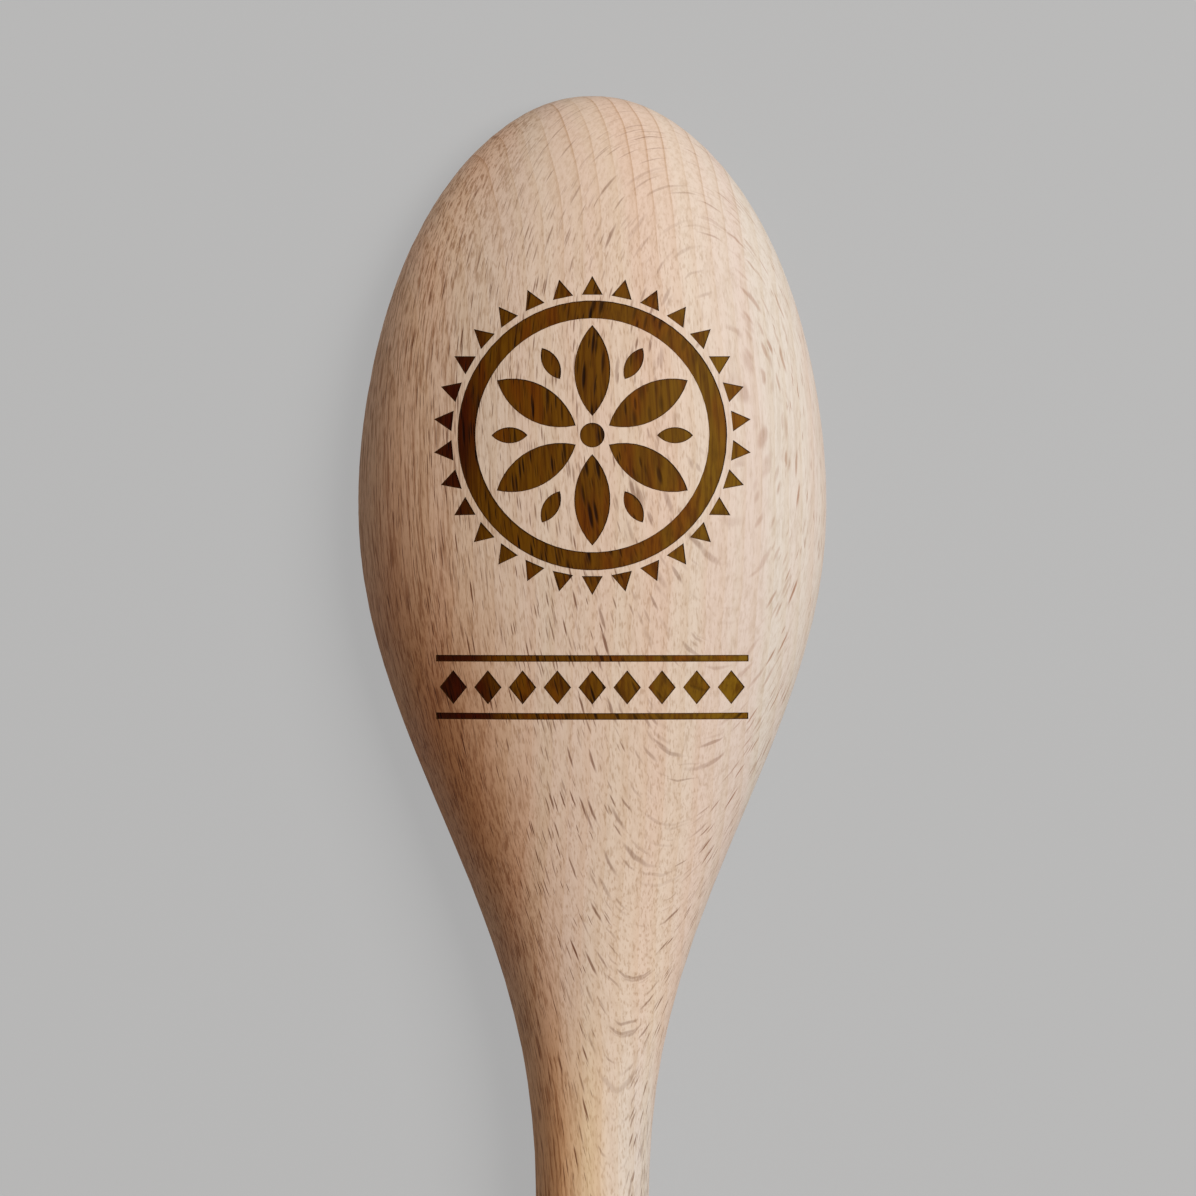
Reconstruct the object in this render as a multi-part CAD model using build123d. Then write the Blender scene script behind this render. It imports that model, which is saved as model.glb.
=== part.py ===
from build123d import *
import os
from math import cos, pi, sqrt

# A wooden cooking spoon, carved from one piece of beech, lying with the back of its bowl up.
# Millimetres. +Y runs from the handle to the tip of the bowl, +Z is up, and the rim lies on Z = 0.
# The origin is at the bottom centre of the spoon's box. "From tip" is a distance along the spoon,
# measured back from the tip of the bowl.

# The bowl and the neck
overall_length = 300.0
bowl_width = 50.0
back_height = 17.0
tip_to_widest = 44.0
widest_to_neck_end = 76.0
neck_lean_share = 1.28
edge_height = 3.5
outer_rim_round = 1.0

# The handle
handle_diameter = 12.0
handle_lift = 0.4

# The hollow in the front of the bowl
rim_width = 4.2
rim_width_at_tip = 5.0
hollow_length = 72.0
hollow_depth = 8.5
inner_rim_round = 1.2

# The laser-burnt decoration on the back of the bowl
burn_depth = 0.15
char_thickness = 0.25
rosette_from_tip = 36.5
border_from_tip = 63.0

eye_radius = 1.3
petal_count = 6
petal_inner_radius = 2.0
petal_outer_radius = 11.6
petal_width = 3.8

seed_inner_radius = 6.8
seed_outer_radius = 10.6
seed_width = 1.7

ring_gap = 0.7
ring_width = 1.9

tooth_count = 30
tooth_gap = 0.6
tooth_length = 2.0
tooth_width = 2.2

border_width = 33.0
border_height = 6.8
border_line_width = 0.7
diamond_count = 9
diamond_width = 2.9
diamond_height = 3.6

# The two runs of sections that carry the blank's form: the bowl's, from the tip, and the neck's
bowl_run_length = 56.0
bowl_section_count = 7
neck_section_count = 7

# How far a cutting form reaches past what it cuts
overrun = 5.0

half_width = bowl_width / 2
back_rise = back_height - edge_height
handle_radius = handle_diameter / 2
handle_axis_height = handle_lift + handle_radius
tip_y = overall_length / 2
neck_end_from_tip = tip_to_widest + widest_to_neck_end
handle_length = overall_length - neck_end_from_tip
ring_inner_radius = petal_outer_radius + ring_gap
ring_outer_radius = ring_inner_radius + ring_width


def blank_section(from_tip):
    """Half width, half height and centre height of the blank's elliptical section at a place."""
    if from_tip <= tip_to_widest:
        swell = sqrt(1 - ((tip_to_widest - from_tip) / tip_to_widest) ** 2)
        return half_width * swell, back_rise * swell, edge_height
    behind = (from_tip - tip_to_widest) / widest_to_neck_end
    swell = ((1 + cos(pi * behind)) / 2) ** neck_lean_share
    return (
        handle_radius + (half_width - handle_radius) * swell,
        handle_radius + (back_rise - handle_radius) * swell,
        handle_axis_height + (edge_height - handle_axis_height) * swell,
    )


def across(from_tip, height):
    """A plane square to the spoon's length that faces the end of the handle."""
    return Plane(origin=(0, tip_y - from_tip, height), x_dir=(1, 0, 0), z_dir=(0, -1, 0))


def section_face(from_tip):
    """The blank's section as a face."""
    x_radius, z_radius, centre_height = blank_section(from_tip)
    return across(from_tip, centre_height) * Ellipse(x_radius, z_radius)


def handle_section():
    """The handle's round section, where the neck ends and the straight handle begins."""
    return across(neck_end_from_tip, handle_axis_height) * Circle(handle_radius)


def spaced(start, end, count):
    """Places from start to end, closer together at both ends, where a loft needs more guidance."""
    return [start + (end - start) * (1 - cos(pi * number / (count - 1))) / 2 for number in range(count)]


def turned_head():
    """Bowl and neck as they leave the lathe: an egg that flows into the handle's round section."""
    bowl_places = spaced(0, bowl_run_length, bowl_section_count + 1)[1:]
    neck_places = spaced(bowl_run_length, neck_end_from_tip, neck_section_count)[:-1]
    bowl = loft([Vertex(0, tip_y, edge_height), *[section_face(place) for place in bowl_places]])
    neck = loft([*[section_face(place) for place in neck_places], handle_section()])
    return bowl + neck


def turned_handle():
    """The straight round handle with its round end."""
    end_centre = Pos(0, handle_radius - tip_y, handle_axis_height)
    shank = extrude(handle_section(), handle_length - handle_radius)
    return shank + end_centre * Rot(90, 0, 0) * Sphere(handle_radius)


def front_waste():
    """What is milled off the front of the blank, so that the rim is flat."""
    depth = back_height
    size = (bowl_width + 2 * overrun, overall_length + 2 * overrun, depth)
    return Pos(0, 0, -depth / 2) * Box(*size)


def bowl_hollow():
    """The dish in the front: a long arc swung round an axis that lies in front of the rim."""
    blank_at_rim = sqrt(1 - (edge_height / back_rise) ** 2)
    half_hollow_width = half_width * blank_at_rim - rim_width
    half_hollow_length = hollow_length / 2
    front_end = tip_to_widest * (1 - blank_at_rim) + rim_width_at_tip
    swing_radius = (half_hollow_width**2 + hollow_depth**2) / (2 * hollow_depth)
    arc_radius = (half_hollow_length**2 + hollow_depth**2) / (2 * hollow_depth)
    sweep_depth = hollow_depth + overrun
    half_sweep = sqrt(arc_radius**2 - (arc_radius - sweep_depth) ** 2)
    ends = [(swing_radius - sweep_depth, -half_sweep), (swing_radius - sweep_depth, half_sweep)]
    arc = ThreePointArc(ends[0], (swing_radius, 0), ends[1])
    swung = revolve(make_face([arc, Line(ends[1], ends[0])]), Axis.Y)
    return Pos(0, tip_y - front_end - half_hollow_length, hollow_depth - swing_radius) * swung


def carved_spoon(head):
    """The whole spoon in one piece of wood, before its decoration is burnt in."""
    spoon = head + turned_handle() - front_waste() - bowl_hollow()
    front = spoon.faces().filter_by(Axis.Z).sort_by(Axis.Z)[0]
    spoon = fillet(front.inner_wires()[0].edges(), inner_rim_round)
    front = spoon.faces().filter_by(Axis.Z).sort_by(Axis.Z)[0]
    return fillet(front.outer_wire().edges(), outer_rim_round)


def lens(inner_radius, outer_radius, width):
    """A pointed oval on the +Y axis, drawn with two arcs like a compass petal."""
    root = Vector(0, inner_radius)
    point = Vector(0, outer_radius)
    middle = (inner_radius + outer_radius) / 2
    right = ThreePointArc(root, Vector(width / 2, middle), point)
    left = ThreePointArc(point, Vector(-width / 2, middle), root)
    return make_face([right, left])


def round_the_eye(shape, count, first_angle=0.0):
    """Copies of a flat shape, evenly round the rosette's centre."""
    turn = 360 / count
    return [Rot(0, 0, first_angle + number * turn) * shape for number in range(count)]


def flower_outlines():
    """The round eye and the six petals."""
    petal = lens(petal_inner_radius, petal_outer_radius, petal_width)
    return [Circle(eye_radius), *round_the_eye(petal, petal_count)]


def seed_outlines():
    """Small pointed ovals between the petals."""
    seed = lens(seed_inner_radius, seed_outer_radius, seed_width)
    return round_the_eye(seed, petal_count, 180 / petal_count)


def ring_outline():
    """The plain ring round the flower."""
    return [Circle(ring_outer_radius) - Circle(ring_inner_radius)]


def tooth_outlines():
    """The ring of small triangles that point outwards."""
    foot = ring_outer_radius + tooth_gap
    half_tooth = tooth_width / 2
    corners = [(-half_tooth, foot), (half_tooth, foot), (0, foot + tooth_length)]
    return round_the_eye(make_face(Polyline(*corners, close=True)), tooth_count)


def border_outlines():
    """Two straight lines with a row of diamonds between them."""
    line_offset = (border_height - border_line_width) / 2
    line = Rectangle(border_width, border_line_width)
    lines = [Pos(0, side * line_offset) * line for side in (-1, 1)]
    right, top = diamond_width / 2, diamond_height / 2
    diamond = make_face(Polyline((-right, 0), (0, -top), (right, 0), (0, top), close=True))
    pitch = border_width / diamond_count
    first = (pitch - border_width) / 2
    return [*lines, *(Pos(first + number * pitch, 0) * diamond for number in range(diamond_count))]


def burnt_layers(head, outlines, from_tip):
    """Each outline's recess in the back of the bowl, and the charred layer that lies in it."""
    floor = Pos(0, 0, -burn_depth - char_thickness) * head
    char_top = Pos(0, 0, -burn_depth) * head
    place = Pos(0, tip_y - from_tip, edge_height)
    prisms = Compound(children=[extrude(place * outline, back_height) for outline in outlines])
    recesses = prisms - floor
    return recesses & char_top, recesses


head = turned_head()
marks = {
    "burnt_flower": (flower_outlines(), rosette_from_tip),
    "burnt_seeds": (seed_outlines(), rosette_from_tip),
    "burnt_ring": (ring_outline(), rosette_from_tip),
    "burnt_teeth": (tooth_outlines(), rosette_from_tip),
    "burnt_border": (border_outlines(), border_from_tip),
}
nodes = {}
all_recesses = []
for name, (outlines, from_tip) in marks.items():
    layers, recesses = burnt_layers(head, outlines, from_tip)
    all_recesses += recesses.solids()
    nodes[name] = Compound(children=layers.solids())
nodes["spoon"] = carved_spoon(head) - all_recesses

os.makedirs("parts", exist_ok=True)
for name, shape in nodes.items():
    export_step(shape, f"parts/{name}.step")
    print(name, len(shape.solids()), "solids, volume", round(shape.volume, 2))
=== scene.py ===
import math
from types import SimpleNamespace

import bpy
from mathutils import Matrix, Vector

# A beech cooking spoon on a pale floor, seen from straight above.
# Lengths are in metres in the scene, and in millimetres inside the wood's own nodes.

MM = 0.001

# Where the camera stands: the photograph shows a square, measured at the height of the bowl's edge
FRAME_WIDTH = 127.8 * MM
FRAME_CENTRE_X = 0.6 * MM
FRAME_CENTRE_Y = 96.4 * MM
EDGE_HEIGHT = 3.5 * MM
CAMERA_HEIGHT = 0.75
SENSOR_WIDTH = 36.0

# How the plank lay in the tree: the rays run across it, and the growth rings stand square to them
RAY_SLOPE = math.radians(21.5)
GRAIN_RISE = 0.09
ALONG_RAYS = (math.cos(RAY_SLOPE), 0.0, -math.sin(RAY_SLOPE))
ALONG_GRAIN = (0.0, 1.0, 0.0)
RAY_TO_RAY = (math.sin(RAY_SLOPE), GRAIN_RISE, math.cos(RAY_SLOPE))
RAY_SIDES = (math.sin(RAY_SLOPE), 0.0, math.cos(RAY_SLOPE))
LEFT = (-1.0, 0.0, 0.0)
UP = (0.0, 0.0, 1.0)

# A pair of values below says where something begins and where it is complete. A RUN is along the
# spoon, from its middle towards the tip, and a SIDE is along the rays, to the right, both in
# millimetres. FACES are told by how squarely they look a certain way, and VALUES are of a noise or of
# the growth rings.

# From the neck to the widest place of the bowl the grain dips, and everywhere it wavers
GRAIN_DIP = 2.0
GRAIN_DIP_RUN = (62.0, 112.0)
WAVER_CELL = (18.0, 40.0, 12.0)
WAVER_REACH = (3.0, 0.0, 0.9)

# Rays are thin ribbons: the cell is the room that each has, and the reach its share of that room
LARGE_RAYS = {"cell": (16.0, 5.4, 0.25), "reach": 0.28, "faintest": 0.3, "offset": (0.0, 0.0, 0.0)}
SMALL_RAYS = {"cell": (11.0, 3.0, 0.14), "reach": 0.33, "faintest": 0.2, "offset": (31.7, 12.9, 7.3)}
CHAR_RAYS = {"cell": (15.0, 4.8, 0.26), "reach": 0.33, "faintest": 0.75, "offset": (5.3, 21.7, 3.1)}
SMALLEST_RAY = 0.6
LARGEST_RAY = 1.3
RAY_CORE = 0.4

# Painted light and shade: sanded beech is painted paler on the lit right side, and the handle is
# painted yellower on its shaded left
BEECH = (0.69, 0.546, 0.432)
PAINTED_LIT_BEECH = (0.645, 0.575, 0.51)
PAINTED_LIT_SIDE = (-2.0, 15.0)
HANDLE_RUN = (60.0, 35.0)
HANDLE_PAINTED_LIT_SIDE = (-4.5, 0.5)
HANDLE_PAINTED_SHADE_SIDE = (-2.5, -5.5)
HANDLE_SHADE_TINT = (1.06, 1.0, 0.8)

# Painted shade: the left flank, away from the lamp, is painted browner, and this begins further down
# the side away from the neck
LEFT_HALF = (2.0, -4.0)
FLANK_FACES = (0.05, 0.45)
FLANK_SET_BACK = 0.2
FLANK_SHADE_TINT = (1.08, 0.91, 0.77)

# On the neck the painted shade is darker still, less so towards the handle, and at the outer edge it is
# eased as painted reflected light
NECK_FROM_BOWL_RUN = (128.0, 80.0)
NECK_FROM_HANDLE_RUN = (50.0, 76.0)
NECK_SHADE_ON_HANDLE = 0.5
NECK_SHADE_FACES = (0.12, 0.62)
NECK_SHADE_EDGE_FACES = (0.62, 0.85)
NECK_SHADE_AT_EDGE = 0.7
NECK_SHADE_TINT = (0.58, 0.39, 0.24)

# Near the tip the painted shade on the left flank is lifted, and the flank is painted pale again as
# painted light
TIP_FACES = (0.3, 0.8)
TIP_RUN = (118.0, 136.0)
TIP_PAINTED_LIGHT_TINT = (1.25, 1.3, 1.36)

# Broad bands lie along the grain
BAND_CELL = (3.2, 150.0, 40.0)
BAND_VALUES = (0.35, 0.65)
BAND_TINT = (1.0, 0.945, 0.95)

# Each growth ring darkens through its year, and the end of it shows as a line at the tip
RING_SCALE = 0.165
RING_WAVER = {"Distortion": 1.2, "Detail": 1.0, "Detail Scale": 0.3}
LATEWOOD_VALUES = (0.45, 1.0)
LATEWOOD_SHARE = 0.8
LATEWOOD_TINT = (0.94, 0.9, 0.84)
RING_END_VALUES = (0.84, 0.98)
RING_END_BAND_VALUES = (0.42, 0.56)
RING_END_RUN = (128.0, 146.0)
RING_END_TINT = (0.82, 0.74, 0.66)

# Fibres show everywhere, and on the left flank they are also painted as darker streaks, partly painted
# shade
FIBRE_CELL = (0.45, 9.0, 0.22)
FIBRE_VALUES = (0.4, 0.75)
FIBRE_TINT = (0.88, 0.845, 0.8)
FLANK_FIBRE_VALUES = (0.46, 0.66)
FLANK_FIBRE_FACES = (0.1, 0.6)
FLANK_FIBRE_SHADE_TINT = (0.62, 0.5, 0.42)

# Pores are fainter on the right and at the tip
PORE_CELL = (0.2, 1.0, 0.13)
PORE_VALUES = (0.5, 0.72)
PORE_SIDE = (0.0, 12.0)
PORES_ON_RIGHT = 0.4
PORES_AT_TIP = 0.3
PORE_TINT = (0.8, 0.74, 0.68)

# Flecks are the rays that the surface cuts. The first strength is where it cuts them across, and the
# second where it lies along their sides. On the right they are paler, and there and at the tip fainter.
RAY_SIDE_FACES = (0.85, 1.0)
LARGE_FLECK_STRENGTHS = (1.0, 0.42)
SMALL_FLECK_STRENGTHS = (0.9, 0.5)
FLECK_SIDE = (2.0, 15.0)
FLECKS_ON_RIGHT = 0.85
FLECK_TIP_RUN = (120.0, 142.0)
FLECKS_AT_TIP = 0.5
FLECK_TINT = (0.28, 0.155, 0.1)
PALE_FLECK_TINT = (0.56, 0.34, 0.24)

# The upright walls of the burnt recesses are scorched. They lie higher than this, and every other
# upright face and the hollow lie lower.
WALLS_ABOVE = 9.5 * MM
WALLS_FADE = 0.5 * MM
WALL_FACES = (0.4, 0.25)
# The same colour darkens the char's edge next to the walls, partly painted shade
SCORCH_AND_EDGE_SHADE = (0.05, 0.018, 0.004)

# Burnt beech is painted lighter on the lit right side, with dark streaks along its fibres, redder
# patches, more flecks than the sanded wood, a left flank painted dark as painted shade, and a scorched
# edge partly painted as shade
CHAR_DEEP = (0.13, 0.048, 0.001)
CHAR_PAINTED_LIT = (0.18, 0.092, 0.004)
CHAR_PAINTED_LIT_SIDE = (-8.0, 13.0)
CHAR_STREAK_VALUES = (0.35, 0.75)
CHAR_STREAK_TINT = (0.5, 0.38, 0.3)
CHAR_RED_CELL = (2.2, 11.0, 1.2)
CHAR_RED_VALUES = (0.45, 0.7)
CHAR_RED_TINT = (1.05, 0.76, 0.6)
CHAR_FLANK_SHADE_FACES = (0.25, 0.35)
CHAR_FLANK_SHADE_TINT = (0.4, 0.16, 0.12)
CHAR_SMALL_FLECKS = 0.8
CHAR_RAY_SIDE_FACES = (0.9, 1.0)
CHAR_FLECK_STRENGTHS = (1.0, 0.3)
CHAR_FLECK_TINT = (0.08, 0.04, 0.03)
CHAR_EDGE_WIDTH = 0.35 * MM
CHAR_OPEN_VALUES = (0.5, 0.9)

# How rough and how glossy the surfaces are, and how deep the flecks sink in them
BEECH_ROUGHNESS = 0.58
FLECK_ROUGHNESS = 0.5
BEECH_GLOSS = 0.22
BEECH_RELIEF = 0.02 * MM
CHAR_ROUGHNESS = 0.6
CHAR_GLOSS = 0.05
CHAR_RELIEF = 0.04 * MM
FIBRE_SHARE_OF_RELIEF = 0.6

# The floor lies a hair below the rim, so that no two faces coincide
FLOOR_SIZE = 6.0
FLOOR_LEVEL = -0.02 * MM
FLOOR_GREY = (0.505, 0.505, 0.505, 1.0)
FLOOR_ROUGHNESS = 0.9
FLOOR_GLOW = 0.95
FLOOR_GLOW_SHARE = 0.8

# One soft lamp at the upper right, aimed at the place where the bowl meets the neck
LAMP_TARGET = Vector((0.0, 0.08, 0.0))
LAMP_DIRECTION = Vector((0.55, 0.31, 0.78)).normalized()
LAMP_DISTANCE = 1.2
LAMP_SIZE = 0.7
LAMP_POWER = 15.5
LAMP_COLOUR = (1.0, 0.99, 0.97)

# The room gives back a little of the wood's own warmth where the lamp doesn't reach
ROOM_WARMTH = (1.0, 0.88, 0.78)
ROOM_WHITE = (1.0, 1.0, 1.0)
ROOM_LIGHT = 0.2
ROOM_AS_SEEN = 0.35


def linked(tree, kind, inputs=None, **settings):
    """A new node with its settings, and its inputs set to a value or joined to an output."""
    made = tree.nodes.new(kind)
    for name, value in settings.items():
        setattr(made, name, value)
    for name, value in (inputs or {}).items():
        if isinstance(value, bpy.types.NodeSocket):
            tree.links.new(value, made.inputs[name])
        else:
            made.inputs[name].default_value = value
    return made


def reckoned(tree, operation, *values):
    """What a Math node makes of some values."""
    return linked(tree, "ShaderNodeMath", dict(enumerate(values)), operation=operation).outputs[0]


def product(tree, *factors):
    """Several values multiplied."""
    result = factors[0]
    for factor in factors[1:]:
        result = reckoned(tree, "MULTIPLY", result, factor)
    return result


def vector_of(tree, operation, first, second):
    """The vector that a Vector Math node makes of two others."""
    return linked(tree, "ShaderNodeVectorMath", {0: first, 1: second}, operation=operation).outputs[0]


def reach_along(tree, vector, direction):
    """How far a vector reaches in a direction."""
    node = linked(tree, "ShaderNodeVectorMath", {0: vector, 1: direction}, operation="DOT_PRODUCT")
    return node.outputs["Value"]


def ramp(tree, value, low, high, to_low=0.0, to_high=1.0, smooth=True):
    """A value taken from one range to another, and kept inside it."""
    kind = "SMOOTHSTEP" if smooth else "LINEAR"
    inputs = {"Value": value, "From Min": low, "From Max": high, "To Min": to_low, "To Max": to_high}
    return linked(tree, "ShaderNodeMapRange", inputs, interpolation_type=kind).outputs[0]


def blend_colour(tree, kind, factor, first, second):
    """The output of a Mix node for colours."""
    node = linked(tree, "ShaderNodeMix", data_type="RGBA", blend_type=kind, clamp_factor=True)
    for socket, value in zip((node.inputs[0], node.inputs[6], node.inputs[7]), (factor, first, second)):
        if isinstance(value, bpy.types.NodeSocket):
            tree.links.new(value, socket)
        elif isinstance(value, tuple):
            socket.default_value = (*value, 1.0)
        else:
            socket.default_value = value
    return node.outputs[2]


def tinted(tree, colour, amount, tint):
    """A colour multiplied by a tint, as far as the amount says."""
    return blend_colour(tree, "MULTIPLY", amount, colour, tint)


def noise(tree, place, cell, detail=2.0, roughness=0.5):
    """A noise value from 0 to 1, in cells of the given size."""
    in_cells = vector_of(tree, "DIVIDE", place, cell)
    inputs = {"Vector": in_cells, "Scale": 1.0, "Detail": detail, "Roughness": roughness}
    return linked(tree, "ShaderNodeTexNoise", inputs, noise_dimensions="3D").outputs[0]


def facing(tree, direction, power=1.0):
    """How squarely the surface faces a direction, from 0 to 1."""
    normal = linked(tree, "ShaderNodeTexCoord").outputs["Normal"]
    squareness = reckoned(tree, "MAXIMUM", reach_along(tree, normal, direction), 0.0)
    return reckoned(tree, "POWER", squareness, power)


def wood_place(tree):
    """Place in the wood in millimetres: X along the rays, Y along the grain, Z from ray to ray."""
    place = linked(tree, "ShaderNodeTexCoord").outputs["Object"]
    scaled = linked(tree, "ShaderNodeVectorMath", {0: place, "Scale": 1 / MM}, operation="SCALE")
    in_mm = scaled.outputs[0]
    along_grain = reach_along(tree, in_mm, ALONG_GRAIN)
    dip = ramp(tree, along_grain, *GRAIN_DIP_RUN, 0.0, -GRAIN_DIP)
    reaches = {
        "X": reach_along(tree, in_mm, ALONG_RAYS),
        "Y": along_grain,
        "Z": reckoned(tree, "ADD", reach_along(tree, in_mm, RAY_TO_RAY), dip),
    }
    straight = linked(tree, "ShaderNodeCombineXYZ", reaches).outputs[0]
    waver_cells = vector_of(tree, "DIVIDE", straight, WAVER_CELL)
    waver = linked(tree, "ShaderNodeTexNoise", {"Vector": waver_cells, "Scale": 1.0}).outputs["Color"]
    centred = vector_of(tree, "ADD", waver, (-0.5, -0.5, -0.5))
    sway = vector_of(tree, "MULTIPLY", centred, WAVER_REACH)
    return vector_of(tree, "ADD", straight, sway)


def ray_flecks(tree, place, cell, reach, faintest, offset):
    """Rays as thin ribbons in the wood: up to 1 inside a ray and 0 between the rays."""
    in_cells = vector_of(tree, "ADD", vector_of(tree, "DIVIDE", place, cell), offset)
    cells = linked(tree, "ShaderNodeTexVoronoi", {"Vector": in_cells, "Scale": 1.0, "Randomness": 1.0})
    chance = linked(tree, "ShaderNodeSeparateColor", {"Color": cells.outputs["Color"]}).outputs
    smallest, largest = SMALLEST_RAY * reach, LARGEST_RAY * reach
    edge = ramp(tree, chance["Red"], 0.0, 1.0, smallest, largest, smooth=False)
    inside = reckoned(tree, "DIVIDE", cells.outputs["Distance"], edge)
    strength = ramp(tree, chance["Green"], 0.0, 1.0, faintest, 1.0, smooth=False)
    return product(tree, ramp(tree, inside, 1.0, RAY_CORE), strength)


def beech_figure(tree):
    """What both finishes share: places in the wood, the way a face looks, the rays and the fibres."""
    place = wood_place(tree)
    reaches = linked(tree, "ShaderNodeSeparateXYZ", {0: place}).outputs
    return SimpleNamespace(
        place=place,
        across=reaches["X"],
        along=reaches["Y"],
        left_face=facing(tree, LEFT),
        ray_sides=facing(tree, RAY_SIDES, 2.0),
        large_rays=ray_flecks(tree, place, **LARGE_RAYS),
        small_rays=ray_flecks(tree, place, **SMALL_RAYS),
        fibres=noise(tree, place, FIBRE_CELL, detail=3.0, roughness=0.6),
    )


def growth_rings(tree, place):
    """The growth rings, which rise from 0 to 1 through each year's wood."""
    inputs = {"Vector": place, "Scale": RING_SCALE, **RING_WAVER}
    settings = {"wave_type": "BANDS", "bands_direction": "X", "wave_profile": "SAW"}
    return linked(tree, "ShaderNodeTexWave", inputs, **settings).outputs[1]


def plain_tones(tree, wood, flank_faces):
    """The wood's colour without its figure, painted pale on the lit right side and painted brown as
    shade on the left flank.
    """
    at_handle = ramp(tree, wood.along, *HANDLE_RUN)
    # Painted light: the right of the bowl and of the handle is painted paler; painted shade: the
    # handle's left is painted yellower
    handle_lit_right = product(tree, at_handle, ramp(tree, wood.across, *HANDLE_PAINTED_LIT_SIDE))
    handle_shaded_left = product(tree, at_handle, ramp(tree, wood.across, *HANDLE_PAINTED_SHADE_SIDE))
    right = reckoned(tree, "MAXIMUM", ramp(tree, wood.across, *PAINTED_LIT_SIDE), handle_lit_right)
    colour = blend_colour(tree, "MIX", right, BEECH, PAINTED_LIT_BEECH)
    colour = tinted(tree, colour, handle_shaded_left, HANDLE_SHADE_TINT)

    from_handle = ramp(tree, wood.along, *NECK_FROM_HANDLE_RUN, NECK_SHADE_ON_HANDLE, 1.0)
    at_neck = product(tree, ramp(tree, wood.along, *NECK_FROM_BOWL_RUN), from_handle)
    set_back = ramp(tree, at_neck, 0.0, 1.0, FLANK_SET_BACK, 0.0, smooth=False)
    flank = reckoned(tree, "SUBTRACT", flank_faces, set_back)
    # Painted shade: the left flank is painted browner
    colour = tinted(tree, colour, ramp(tree, flank, *FLANK_FACES), FLANK_SHADE_TINT)

    # Painted shade: the neck's left flank is painted darker still, eased at the outer edge
    edge = ramp(tree, flank, *NECK_SHADE_EDGE_FACES, 1.0, NECK_SHADE_AT_EDGE)
    neck_shade = product(tree, ramp(tree, flank, *NECK_SHADE_FACES), edge, at_neck)
    colour = tinted(tree, colour, neck_shade, NECK_SHADE_TINT)

    # Painted light: near the tip the left flank is painted pale again
    tip = product(tree, ramp(tree, flank_faces, *TIP_FACES), ramp(tree, wood.along, *TIP_RUN))
    return tinted(tree, colour, tip, TIP_PAINTED_LIGHT_TINT)


def figured_tones(tree, wood, flank_faces, colour):
    """The colour with the wood's bands, growth rings, fibres and pores."""
    bands = noise(tree, wood.place, BAND_CELL, detail=1.5)
    colour = tinted(tree, colour, ramp(tree, bands, *BAND_VALUES), BAND_TINT)

    rings = growth_rings(tree, wood.place)
    latewood = product(tree, ramp(tree, rings, *LATEWOOD_VALUES, smooth=False), LATEWOOD_SHARE)
    colour = tinted(tree, colour, latewood, LATEWOOD_TINT)
    at_tip = ramp(tree, wood.along, *RING_END_RUN)
    in_bands = ramp(tree, bands, *RING_END_BAND_VALUES)
    ring_ends = product(tree, ramp(tree, rings, *RING_END_VALUES), at_tip, in_bands)
    colour = tinted(tree, colour, ring_ends, RING_END_TINT)

    colour = tinted(tree, colour, ramp(tree, wood.fibres, *FIBRE_VALUES), FIBRE_TINT)
    # Partly painted shade: the fibres are painted as darker streaks on the left flank
    on_flank = ramp(tree, flank_faces, *FLANK_FIBRE_FACES)
    flank_shade_streaks = product(tree, ramp(tree, wood.fibres, *FLANK_FIBRE_VALUES), on_flank)
    colour = tinted(tree, colour, flank_shade_streaks, FLANK_FIBRE_SHADE_TINT)

    pores = ramp(tree, noise(tree, wood.place, PORE_CELL, detail=1.0), *PORE_VALUES)
    on_right = ramp(tree, wood.across, *PORE_SIDE, 1.0, PORES_ON_RIGHT)
    on_tip = ramp(tree, at_tip, 0.0, 1.0, 1.0, PORES_AT_TIP)
    return tinted(tree, colour, product(tree, pores, on_right, on_tip), PORE_TINT)


def sanded_flecks(tree, wood):
    """How strongly the rays show on the sanded wood."""
    large_strength = ramp(tree, wood.ray_sides, *RAY_SIDE_FACES, *LARGE_FLECK_STRENGTHS)
    small_strength = ramp(tree, wood.ray_sides, *RAY_SIDE_FACES, *SMALL_FLECK_STRENGTHS)
    large = product(tree, wood.large_rays, large_strength)
    small = product(tree, wood.small_rays, small_strength)
    on_right = ramp(tree, wood.across, *FLECK_SIDE, 1.0, FLECKS_ON_RIGHT)
    at_tip = ramp(tree, wood.along, *FLECK_TIP_RUN, 1.0, FLECKS_AT_TIP)
    return product(tree, reckoned(tree, "MAXIMUM", large, small), on_right, at_tip)


def burnt_flecks(tree, wood):
    """How strongly the rays show on the burnt wood."""
    more_rays = ray_flecks(tree, wood.place, **CHAR_RAYS)
    large = reckoned(tree, "MAXIMUM", wood.large_rays, more_rays)
    small = product(tree, wood.small_rays, CHAR_SMALL_FLECKS)
    strength = ramp(tree, wood.ray_sides, *CHAR_RAY_SIDE_FACES, *CHAR_FLECK_STRENGTHS)
    return product(tree, reckoned(tree, "MAXIMUM", large, small), strength)


def recess_walls(tree):
    """1 on the walls of the burnt recesses, the only upright faces on the back of the bowl."""
    place = linked(tree, "ShaderNodeTexCoord").outputs["Object"]
    height = linked(tree, "ShaderNodeSeparateXYZ", {0: place}).outputs["Z"]
    raised = ramp(tree, height, WALLS_ABOVE, WALLS_ABOVE + WALLS_FADE)
    return product(tree, ramp(tree, facing(tree, UP), *WALL_FACES), raised)


def relief(tree, fibres, flecks):
    """The height of the surface, which sinks at the fibres and at the flecks."""
    return reckoned(tree, "SUBTRACT", product(tree, fibres, -FIBRE_SHARE_OF_RELIEF), flecks)


def empty_material(name):
    """A new material without nodes."""
    material = bpy.data.materials.new(name)
    material.use_nodes = True
    material.node_tree.nodes.clear()
    return material


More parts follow.
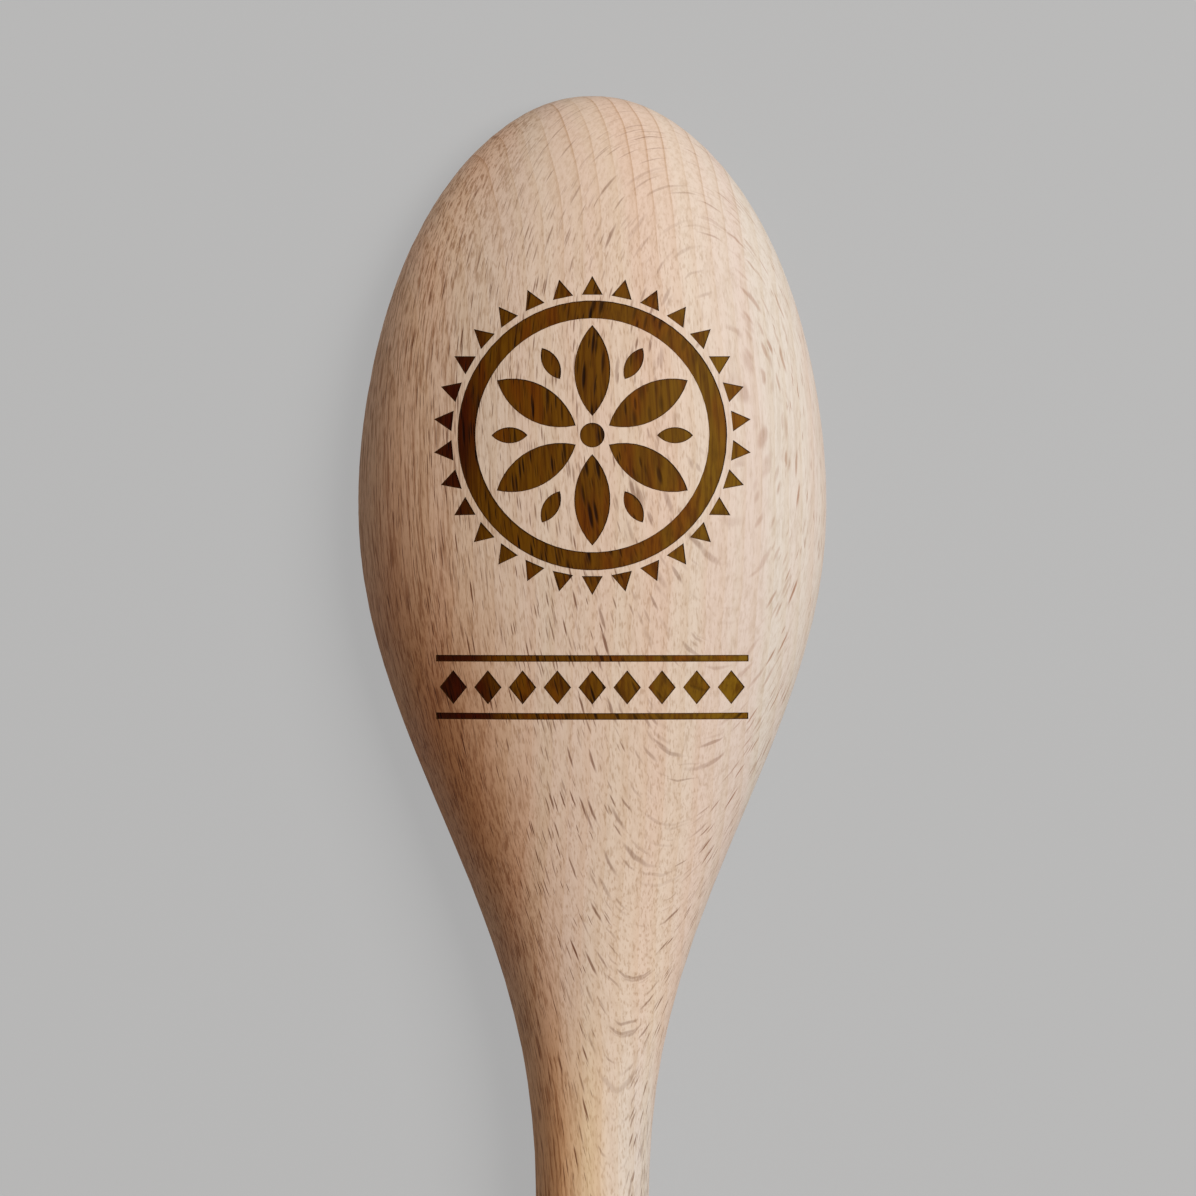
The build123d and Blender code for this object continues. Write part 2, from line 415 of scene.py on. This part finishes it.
def finished(tree, colour, roughness, gloss, height, depth):
    """The wood's surface, joined to the material's output."""
    bump = linked(tree, "ShaderNodeBump", {"Height": height, "Strength": 1.0, "Distance": depth})
    inputs = {"Base Color": colour, "Roughness": roughness, "Specular IOR Level": gloss}
    surface = linked(tree, "ShaderNodeBsdfPrincipled", {**inputs, "Normal": bump.outputs[0]})
    linked(tree, "ShaderNodeOutputMaterial", {"Surface": surface.outputs[0]})


def sanded_beech():
    """Plain sanded beech."""
    material = empty_material("sanded_beech")
    tree = material.node_tree
    wood = beech_figure(tree)
    flank_faces = product(tree, wood.left_face, ramp(tree, wood.across, *LEFT_HALF))
    colour = plain_tones(tree, wood, flank_faces)
    colour = figured_tones(tree, wood, flank_faces, colour)
    flecks = sanded_flecks(tree, wood)
    on_right = ramp(tree, wood.across, *FLECK_SIDE)
    fleck_tint = blend_colour(tree, "MIX", on_right, FLECK_TINT, PALE_FLECK_TINT)
    colour = tinted(tree, colour, flecks, fleck_tint)
    colour = blend_colour(tree, "MIX", recess_walls(tree), colour, SCORCH_AND_EDGE_SHADE)
    roughness = ramp(tree, flecks, 0.0, 1.0, BEECH_ROUGHNESS, FLECK_ROUGHNESS)
    finished(tree, colour, roughness, BEECH_GLOSS, relief(tree, wood.fibres, flecks), BEECH_RELIEF)
    return material


def burnt_beech():
    """Beech that the laser has charred."""
    material = empty_material("burnt_beech")
    tree = material.node_tree
    wood = beech_figure(tree)
    # Painted light: the burnt wood is painted lighter on the right
    on_right = ramp(tree, wood.across, *CHAR_PAINTED_LIT_SIDE)
    colour = blend_colour(tree, "MIX", on_right, CHAR_DEEP, CHAR_PAINTED_LIT)
    colour = tinted(tree, colour, ramp(tree, wood.fibres, *CHAR_STREAK_VALUES), CHAR_STREAK_TINT)
    red_patches = ramp(tree, noise(tree, wood.place, CHAR_RED_CELL), *CHAR_RED_VALUES)
    colour = tinted(tree, colour, red_patches, CHAR_RED_TINT)
    # Painted shade: the burnt wood's left flank is painted darker
    colour = tinted(tree, colour, ramp(tree, wood.left_face, *CHAR_FLANK_SHADE_FACES), CHAR_FLANK_SHADE_TINT)
    flecks = burnt_flecks(tree, wood)
    colour = tinted(tree, colour, flecks, CHAR_FLECK_TINT)
    # Partly painted shade: ambient occlusion darkens the char next to the recess walls, as a scorched
    # edge
    openness = linked(tree, "ShaderNodeAmbientOcclusion", {"Distance": CHAR_EDGE_WIDTH}, samples=8)
    away_from_edge = ramp(tree, openness.outputs["AO"], *CHAR_OPEN_VALUES)
    colour = blend_colour(tree, "MIX", away_from_edge, SCORCH_AND_EDGE_SHADE, colour)
    finished(tree, colour, CHAR_ROUGHNESS, CHAR_GLOSS, relief(tree, wood.fibres, flecks), CHAR_RELIEF)
    return material


def plain_floor():
    """The pale floor that the spoon lies on, with a glow of its own that only the camera sees."""
    bpy.ops.mesh.primitive_plane_add(size=FLOOR_SIZE, location=(0.0, 0.0, FLOOR_LEVEL))
    floor = bpy.context.object
    floor.name = "floor"
    material = empty_material("pale_floor")
    tree = material.node_tree
    matt = {"Base Color": FLOOR_GREY, "Roughness": FLOOR_ROUGHNESS}
    surface = linked(tree, "ShaderNodeBsdfPrincipled", matt).outputs[0]
    glow = linked(tree, "ShaderNodeEmission", {"Color": FLOOR_GREY, "Strength": FLOOR_GLOW}).outputs[0]
    seen = linked(tree, "ShaderNodeLightPath").outputs["Is Camera Ray"]
    share = product(tree, seen, FLOOR_GLOW_SHARE)
    mixed = linked(tree, "ShaderNodeMixShader", {0: share, 1: surface, 2: glow}).outputs[0]
    linked(tree, "ShaderNodeOutputMaterial", {"Surface": mixed})
    floor.data.materials.append(material)


def window_lamp():
    """A square soft lamp that looks at the spoon."""
    lamp = bpy.data.lights.new("window_light", "AREA")
    lamp.shape = "SQUARE"
    lamp.size = LAMP_SIZE
    lamp.energy = LAMP_POWER
    lamp.color = LAMP_COLOUR
    stand = bpy.data.objects.new("window_light", lamp)
    stand.location = LAMP_TARGET + LAMP_DIRECTION * LAMP_DISTANCE
    stand.rotation_mode = "QUATERNION"
    stand.rotation_quaternion = LAMP_DIRECTION.to_track_quat("Z", "Y")
    bpy.context.scene.collection.objects.link(stand)


def pale_room():
    """The dim room round the spoon: its light is warm, but it is white where it is seen or mirrored."""
    world = bpy.data.worlds.new("pale_room")
    bpy.context.scene.world = world
    world.use_nodes = True
    tree = world.node_tree
    tree.nodes.clear()
    rays = linked(tree, "ShaderNodeLightPath").outputs
    seen = reckoned(tree, "MAXIMUM", rays["Is Camera Ray"], rays["Is Glossy Ray"])
    strength = ramp(tree, seen, 0.0, 1.0, ROOM_LIGHT, ROOM_AS_SEEN, smooth=False)
    colour = blend_colour(tree, "MIX", seen, ROOM_WARMTH, ROOM_WHITE)
    room = linked(tree, "ShaderNodeBackground", {"Color": colour, "Strength": strength})
    linked(tree, "ShaderNodeOutputWorld", {"Surface": room.outputs[0]})


def top_camera():
    """The camera straight above the bowl."""
    data = bpy.data.cameras.new("top_camera")
    data.sensor_width = SENSOR_WIDTH
    data.lens = SENSOR_WIDTH * (CAMERA_HEIGHT - EDGE_HEIGHT) / FRAME_WIDTH
    camera = bpy.data.objects.new("top_camera", data)
    camera.location = (FRAME_CENTRE_X, FRAME_CENTRE_Y, CAMERA_HEIGHT)
    bpy.context.scene.collection.objects.link(camera)
    bpy.context.scene.camera = camera


def dress(node, material):
    """Gives a node of the model its finish."""
    node.data.materials.clear()
    node.data.materials.append(material)


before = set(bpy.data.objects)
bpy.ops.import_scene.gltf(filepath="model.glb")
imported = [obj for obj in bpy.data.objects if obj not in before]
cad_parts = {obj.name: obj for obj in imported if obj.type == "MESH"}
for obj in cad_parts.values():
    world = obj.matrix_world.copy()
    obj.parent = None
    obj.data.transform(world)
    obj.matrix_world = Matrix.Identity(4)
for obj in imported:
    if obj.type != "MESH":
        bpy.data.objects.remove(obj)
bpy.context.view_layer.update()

beech = sanded_beech()
char = burnt_beech()
for name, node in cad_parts.items():
    dress(node, char if name.startswith("burnt_") else beech)

plain_floor()
window_lamp()
pale_room()
top_camera()
bpy.context.scene.view_settings.view_transform = "Standard"
